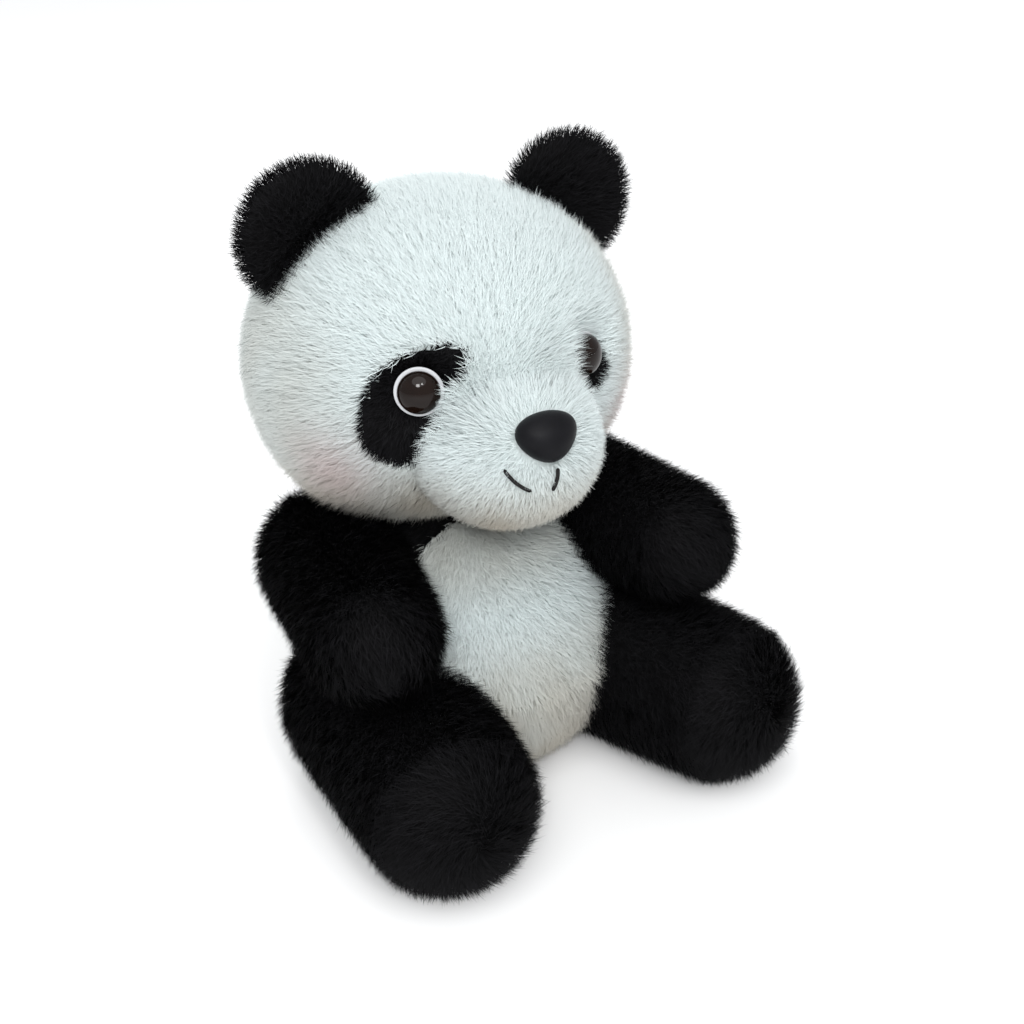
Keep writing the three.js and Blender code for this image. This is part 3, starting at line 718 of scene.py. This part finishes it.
def lathed(pairs, at, u, v, n, across=48):
    """A profile of (radius, height) pairs turned about a normal; closed where it starts and ends on
    the axis, and joined end to start where it does not."""
    pairs = np.array(pairs, float)
    open_ends = pairs[0][0] > 1e-6
    a = 2 * math.pi * np.arange(across) / across
    rings = pairs if open_ends else pairs[1:-1]
    p = (at + rings[:, None, 0:1] * (np.cos(a)[None, :, None] * u + np.sin(a)[None, :, None] * v)
         + rings[:, None, 1:2] * n).reshape(-1, 3)
    k = np.arange(across)
    j = (k + 1) % across
    rows = range(len(rings)) if open_ends else range(len(rings) - 1)
    tris = []
    for r in rows:
        q = (r + 1) % len(rings)
        tris += [np.stack([r * across + k, r * across + j, q * across + j], 1),
                 np.stack([r * across + k, q * across + j, q * across + k], 1)]
    if not open_ends:
        p = np.vstack([p, at + n * pairs[0][1], at + n * pairs[-1][1]])
        first, last = len(p) - 2, len(p) - 1
        end = (len(rings) - 1) * across
        tris += [np.stack([np.full(across, first), j, k], 1),
                 np.stack([np.full(across, last), end + k, end + j], 1)]
    return p, np.vstack(tris)


# ---- head ---------------------------------------------------------------------------------------
NOSE_SWIRL = NOSE_AT + NOSE_N * 4          # the pile of the face runs away from here
EYE_BARE = arr(6.9, 10)                    # radius and half depth left bare under an eye
NOSE_BARE = arr(8.4, 6.6, 8)               # half width, height and depth left bare under the nose


def head_flow(p):
    """Away from the nose on the face, turning down at the cheeks and down the back of the head."""
    away = unit(p - NOSE_SWIRL)
    back = ramp(-20, 25, p[:, 1])[:, None]
    down, over = arr(0, 0.3, -1), arr(0, 1, -0.1)
    top = ramp(150, 185, p[:, 2])[:, None]
    return away * (1 - back) + (down * (1 - top) + over * top) * back


def seam_side(p):
    """How far each point lies in front of the muzzle's seam."""
    return (p - HEAD_C) @ TO_MUZZLE - MUZZLE_SEAM


def on_muzzle(p):
    return seam_side(p) > 0


def upper_lip(p):
    return (p - arr(0, MUZZLE_C[1] - LIP_BACK, MUZZLE_C[2] - LIP_DROP)) @ LIP_UP > 0


def throat_zone(p):
    """Behind the muzzle, under the throat's seam and between the side panels."""
    low = (p - arr(0, HEAD_C[1], HEAD_C[2] - THROAT_DROP)) @ THROAT_UP <= 0
    return ~on_muzzle(p) & (np.abs(p[:, 0]) <= THROAT_HALF) & low


def face_side(side):
    return lambda p: ~on_muzzle(p) & ~throat_zone(p) & (p[:, 0] * side > GUSSET_HALF)


def gusset(p):
    return ~on_muzzle(p) & ~throat_zone(p) & (np.abs(p[:, 0]) <= GUSSET_HALF)


def face_drop(p):
    """No pile under the eyes or the nose, nor deep in the neck."""
    gone = np.zeros(len(p), bool)
    for at, normal, u, v in EYES.values():
        q = p - at
        gone |= (np.hypot(q @ u, q @ v) < EYE_BARE[0]) & (np.abs(q @ normal) < EYE_BARE[1])
    q = p - NOSE_AT
    x, y, z = q @ NOSE_U, q @ NOSE_V, q @ NOSE_N
    wide = NOSE_BARE[0] * (1 + 0.03 * y)
    gone |= (np.hypot(x / wide, (y + 0.9) / NOSE_BARE[1]) < 1) & (np.abs(z) < NOSE_BARE[2])
    return gone | (torso_depth(turned_head(p)) > 4)


def from_eye(word):
    """Away from the eye's centre, and a little down."""
    return lambda p: p - EYES[word][0] + arr(0, 0, -0.5)


head_panels = []
for word, side in SIDES:
    head_panels.append((f"head_side_{word}_pile",
                        lambda p, w=word, s=side: face_side(s)(p) & ~in_patch(p, w, s),
                        WHITE, "head", [f"head_side_{word}"], {}))
    head_panels.append((f"eye_patch_{word}_pile",
                        lambda p, w=word, s=side: face_side(s)(p) & in_patch(p, w, s),
                        BLACK, "head", [f"eye_patch_{word}"],
                        {"length": 4.0, "lean": 0.95, "flow": from_eye(word), "width": 0.3}))
head_panels += [
    ("crown_gusset_pile", gusset, WHITE, "head", ["crown_gusset"], {}),
    ("throat_pile", throat_zone, WHITE, "head", ["throat_panel"], {}),
    ("muzzle_pile", lambda p: on_muzzle(p) & upper_lip(p), WHITE, "head", ["muzzle_panel"], {}),
    ("chin_pile", lambda p: on_muzzle(p) & ~upper_lip(p), WHITE, "head", ["chin_panel"], {}),
]


def beside_bridge(p, wide, tall):
    """1 on either side of the nose's bridge, between the eyes, falling off over these distances."""
    return bell((np.abs(p[:, 0]) - 13) / wide) * bell((p[:, 2] - 148) / tall) * (p[:, 1] < -30)


def face_length(p):
    """Short on the muzzle, longer towards the cheeks and the back, and long between the eyes."""
    return 4.4 + 3.3 * ramp(4, -16, seam_side(p)) + 5.5 * beside_bridge(p, 8, 12)


def face_lean(p):
    """Lying back over the head, and upright between the eyes."""
    return 0.85 - 0.45 * beside_bridge(p, 9, 13)


head = Form(head_at, HEAD_C)
furnish(head, (140, 70), 4.5, head_panels, face_length, face_lean, head_flow, face_drop)

# ---- eyes, nose and mouth -----------------------------------------------------------------------
EYE_PLASTIC, RING_PLASTIC, NOSE_PLASTIC = eye_plastic(), ring_plastic(), nose_plastic()
MOUTH_THREAD = thread("black_thread", (0.004, 0.004, 0.004), (0.02, 0.018, 0.018))

for word, side in SIDES:
    at, normal, u, v = EYES[word]
    seat = at - normal * EYE_SINK
    t = np.linspace(0, math.pi / 2, 12)
    dome = [(0, -SHANK_LEN), (SHANK_R, -SHANK_LEN), (SHANK_R, 1.45), (EYE_DOME_R - 0.15, 1.5)]
    dome += [(EYE_DOME_R * math.cos(a), 1.8 + EYE_DOME_H * math.sin(a)) for a in t[:-1]]
    dome += [(0, 1.8 + EYE_DOME_H)]
    p, tris = lathed(dome, seat, u, v, normal)
    hard(f"eye_{word}_dome", p, tris, EYE_PLASTIC, "head", [f"eye_{word}"])
    lip = EYE_RING_T / 2
    ring = [(EYE_RING_R - lip + lip * math.sin(a), 0.4 + lip - lip * math.cos(a))
            for a in np.linspace(0, math.pi, 8)]
    hole = SHANK_R + 0.4
    p, tris = lathed([(hole, 0.4), *ring, (hole, 0.4 + EYE_RING_T)], seat, u, v, normal)
    hard(f"eye_ring_{word}_moulding", p, tris, RING_PLASTIC, "head", [f"eye_ring_{word}"])


def nose_at(u, v):
    """A rounded cushion, wide at the top and narrower below."""
    d = ball(u, v)
    x = NOSE_W / 2 * d[..., 0] * (1 + 0.28 * d[..., 1])
    return (NOSE_AT + x[..., None] * NOSE_U + (NOSE_H / 2 * d[..., 1])[..., None] * NOSE_V
            + (NOSE_T * d[..., 2])[..., None] * NOSE_N)


nose_form = Form(nose_at, NOSE_AT)
hard("nose_moulding", *nose_form.skin(56, 40), NOSE_PLASTIC, "head", ["nose"])

# Each thread of the mouth: its ends and its middle, as (x, z) on the face.
STITCHES = {"right": ((-14.6, 130.4), (-11.8, 126.1), (-7.4, 122.8)),
            "left": ((1.2, 128.6), (0.7, 125), (-0.8, 121.6))}
THREAD_R, THREAD_LIFT = 0.6, 0.3
ALONG, AROUND = 24, 10


def stitch(start, middle, end):
    """A thread on the muzzle: a parabola through three points, as a tube of rings whose radius falls
    off at the ends, with a flat fan over each end."""
    t = np.linspace(0, 1, ALONG)[:, None]
    pull = 2 * middle - (start + end) / 2
    flat = (1 - t) ** 2 * start + 2 * t * (1 - t) * pull + t * t * end
    path, out = on_ellipsoid(MUZZLE_C, MUZZLE_R + THREAD_LIFT, flat[:, 0], flat[:, 1])
    run = unit(np.gradient(path, axis=0))
    across = unit(np.cross(run, out))
    a = 2 * math.pi * np.arange(AROUND) / AROUND
    r = THREAD_R * np.sqrt(np.clip(1 - (2 * t[:, 0] - 1) ** 16, 0.02, 1))
    rings = (path[:, None] + r[:, None, None] * (np.cos(a)[None, :, None] * across[:, None]
             + np.sin(a)[None, :, None] * out[:, None])).reshape(-1, 3)
    k = np.arange(AROUND)
    j = (k + 1) % AROUND
    tris = []
    for b in range(0, (ALONG - 1) * AROUND, AROUND):
        tris += [np.stack([b + k, b + AROUND + j, b + j], 1),
                 np.stack([b + k, b + AROUND + k, b + AROUND + j], 1)]
    last = (ALONG - 1) * AROUND
    tris += [np.stack([np.zeros(AROUND - 2, int), k[1:-1], k[2:]], 1),
             np.stack([np.full(AROUND - 2, last), last + k[2:], last + k[1:-1]], 1)]
    return rings, np.vstack(tris)


for word, points in STITCHES.items():
    hard(f"mouth_stitch_{word}_thread", *stitch(*np.array(points)), MOUTH_THREAD, "head",
         [f"mouth_stitch_{word}"])

# ---- ears ---------------------------------------------------------------------------------------
for word, side in SIDES:
    form, out, c = ear_form(side)
    fold = HEAD_C + out * 50
    furnish(form, (56, 28), 3.8, [
        (f"ear_front_{word}_pile", lambda p: p[:, 1] < HEAD_C[1], BLACK, f"ear_{word}",
         [f"ear_front_{word}"], {}),
        (f"ear_back_{word}_pile", lambda p: p[:, 1] >= HEAD_C[1], BLACK, f"ear_{word}",
         [f"ear_back_{word}"], {})],
        5.2, 0.75, lambda p, fold=fold: p - fold, lambda p: head_depth(p) > 3)

# ---- torso --------------------------------------------------------------------------------------
torso = Form(torso_at, TORSO_C)
# The pile stands higher over the shoulders and thighs, where the cloth is gathered.
SHOULDER_RISE, SHOULDER_FULL, THIGH_FULL = arr(1.5, 0, 2), 2.2, 3.5
THIGH_IN = {"right": 0, "left": 6}
arms, legs = {}, {}
for word, side in SIDES:
    shoulder, hip = SHOULDER + SHOULDER_RISE, HIP - arr(THIGH_IN[word], 0, 0)
    arms[word] = Limb(mirror(shoulder, side), mirror(PAW[word], side), ARM_R0 + SHOULDER_FULL, ARM_R1)
    legs[word] = Limb(mirror(hip, side), mirror(FOOT[word], side), LEG_R + THIGH_FULL, LEG_R)


def is_yoke(p):
    """Above the yoke's lower edge, less the white bib that runs up the front to the neck."""
    bib = (p[:, 1] < BIB_BACK) & (np.abs(p[:, 0]) < BIB_HALF + (NECK_Z - 1 - p[:, 2]) * BIB_SLOPE)
    return (p[:, 2] > YOKE_Z - YOKE_SLOPE * (p[:, 1] - YOKE_Y)) & ~bib


def torso_panel(k):
    """Tells which points are on a panel: 0 seat, 1 yoke, 2 belly, 3 right back, 4 left back."""
    def test(p):
        seat = p[:, 2] < SEAT_EDGE
        yoke = ~seat & is_yoke(p)
        belly = ~seat & ~yoke & (p[:, 1] < BIB_BACK)
        back = ~seat & ~yoke & ~belly
        return [seat, yoke, belly, back & (p[:, 0] < 0), back & (p[:, 0] >= 0)][k]
    return test


def torso_drop(p):
    """No pile deep in the neck or in the limbs' hollows."""
    deep = head_depth(unturned_head(p)) > 4
    for limb in (*arms.values(), *legs.values()):
        deep |= limb.depth(p) > 5
    return deep


def torso_flow(p):
    """Down, spreading a little outward, and backward under the seat."""
    down = np.stack([p[:, 0] * 0.004, np.zeros(len(p)), np.full(len(p), -1.0)], 1)
    return down + arr(0, 0.02, 0) * (p[:, 2:3] < 8)


furnish(torso, (110, 60), 4.2, [
    ("seat_pile", torso_panel(0), WHITE, "torso", ["seat_panel"], {}),
    ("shoulder_yoke_pile", torso_panel(1), BLACK, "torso", ["shoulder_yoke"], {}),
    ("belly_pile", torso_panel(2), WHITE, "torso", ["belly_panel"], {}),
    ("back_right_pile", torso_panel(3), WHITE, "torso", ["back_panel_right"], {}),
    ("back_left_pile", torso_panel(4), WHITE, "torso", ["back_panel_left"], {})],
    7.5, 0.8, torso_flow, torso_drop)

tail = Form(lambda u, v: TAIL_C + ball(u, v) * (TAIL_R - 1.5), TAIL_C)
furnish(tail, (36, 20), 3.0, [
    ("tail_pile", lambda p: p[:, 2] > -1, WHITE, "torso", ["tail"], {})],
    5.5, 0.7, lambda p: p - arr(0, 25, 26), lambda p: torso_depth(p) > 3)

# ---- arms and legs ------------------------------------------------------------------------------
for word, side in SIDES:
    arm = arms[word]
    flank = unit(np.cross(arr(0, 0, 1), arm.axis)) * side
    furnish(arm, (64, 56), 3.5, [
        (f"arm_outer_{word}_pile", lambda p, a=arm, f=flank: (p - a.a) @ f > 0, BLACK,
         f"arm_{word}", [f"arm_outer_panel_{word}"], {}),
        (f"arm_inner_{word}_pile", lambda p, a=arm, f=flank: (p - a.a) @ f <= 0, BLACK,
         f"arm_{word}", [f"arm_inner_panel_{word}"], {})],
        7.5, 0.8, lambda p, a=arm: a.axis + arr(0, 0, -0.35), lambda p: torso_depth(p) > 9)

    leg = legs[word]

    def foot_end(p, leg=leg):
        return (p - leg.b) @ leg.axis > SOLE_IN

    def swirl(p, leg=leg):
        """Out from the middle of the sole, turned a little, then back along the leg."""
        q = p - (leg.b + leg.axis * 12)
        return q + 0.5 * np.cross(leg.axis, q)

    furnish(leg, (76, 64), 3.3, [
        (f"foot_sole_{word}_pile", foot_end, BLACK, f"leg_{word}", [f"foot_sole_panel_{word}"],
         {"flow": swirl}),
        (f"leg_upper_{word}_pile",
         lambda p, e=foot_end: ~e(p) & (p[:, 2] > HIP[2]), BLACK, f"leg_{word}",
         [f"leg_upper_panel_{word}"], {}),
        (f"leg_under_{word}_pile",
         lambda p, e=foot_end: ~e(p) & (p[:, 2] <= HIP[2]), BLACK, f"leg_{word}",
         [f"leg_under_panel_{word}"], {})],
        7.5, 0.8, lambda p, a=leg: a.axis + arr(0, 0, -0.3), lambda p: torso_depth(p) > 12)

# ---- camera, light and floor --------------------------------------------------------------------
CAMERA_AZIMUTH, CAMERA_HEIGHT, CAMERA_ROLL = (math.radians(k) for k in (-35, 28.6, 1))
CAMERA_DISTANCE, CAMERA_TARGET = 485, (7.314, -27.587, 88.8)
CAMERA_LENS = 50.625
TOY_MIDDLE = Vector((0, 0, 0.09))      # what the lamps point at, in metres


def camera():
    """On a line from the target that is turned by the azimuth and raised by the height."""
    a, e = CAMERA_AZIMUTH, CAMERA_HEIGHT
    back = Vector((math.sin(a) * math.cos(e), -math.cos(a) * math.cos(e), math.sin(e)))
    data = bpy.data.cameras.new("camera")
    data.lens = CAMERA_LENS
    data.clip_start, data.clip_end = 0.01, 20
    cam = bpy.data.objects.new("camera", data)
    bpy.context.scene.collection.objects.link(cam)
    cam.rotation_mode = "QUATERNION"
    cam.location = (Vector(CAMERA_TARGET) + back * CAMERA_DISTANCE) * MM
    cam.rotation_quaternion = (-back).to_track_quat("-Z", "Y") @ Quaternion((0, 0, 1), -CAMERA_ROLL)
    bpy.context.scene.camera = cam


def softbox(name, at, size, power):
    """A square lamp at a place in metres."""
    data = bpy.data.lights.new(name, "AREA")
    data.shape, data.size, data.energy = "SQUARE", size, power
    o = bpy.data.objects.new(name, data)
    bpy.context.scene.collection.objects.link(o)
    o.location = Vector(at)
    o.rotation_mode = "QUATERNION"
    o.rotation_quaternion = (TOY_MIDDLE - o.location).to_track_quat("-Z", "Y")


def studio():
    """A broad key light from the front right, two windows that glint in the eyes, a light from
    behind, an even sky and a white floor."""
    sun = bpy.data.lights.new("key", "SUN")
    sun.energy, sun.angle = 1.35, math.radians(55)
    key = bpy.data.objects.new("key", sun)
    bpy.context.scene.collection.objects.link(key)
    key.rotation_mode = "QUATERNION"
    key.rotation_quaternion = Vector((0.30, 0.55, -1.0)).to_track_quat("-Z", "Y")
    softbox("window", (-0.55, -0.75, 0.75), 0.22, 4.0)
    softbox("second_window", (-0.25, -0.85, 0.85), 0.12, 1.5)
    softbox("rim", (0.2, 0.9, 0.9), 0.7, 3)
    world = bpy.data.worlds.new("studio")
    world.use_nodes = True
    bg = world.node_tree.nodes["Background"]
    bg.inputs[0].default_value = (0.97, 0.985, 1.0, 1)
    bg.inputs[1].default_value = 0.66
    bpy.context.scene.world = world
    me = bpy.data.meshes.new("floor")
    s = 6
    me.from_pydata([(-s, -s, 0), (s, -s, 0), (s, s, 0), (-s, s, 0)], [], [(0, 1, 2, 3)])
    floor = bpy.data.objects.new("floor", me)
    k = Kit("floor_paper", Roughness=0.9, Specular_IOR_Level=0.1)
    k.set(Base_Color=(0.97, 0.97, 0.97))
    me.materials.append(k.mat)
    bpy.context.scene.collection.objects.link(floor)
    bpy.context.scene.view_settings.view_transform = "Standard"


# ---- what the solids inside the toy look like ---------------------------------------------------
INNER = {"stuffing": stuffing(), "washer": washer_plastic(), "pouch": pouch_cloth(),
         "pellets": pellets(),
         "neck_thread": thread("white_thread", (0.62, 0.62, 0.60), (0.82, 0.82, 0.80))}
for node_name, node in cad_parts.items():
    for key, material in INNER.items():
        if key in node_name:
            node.data.materials.clear()
            node.data.materials.append(material)

camera()
studio()
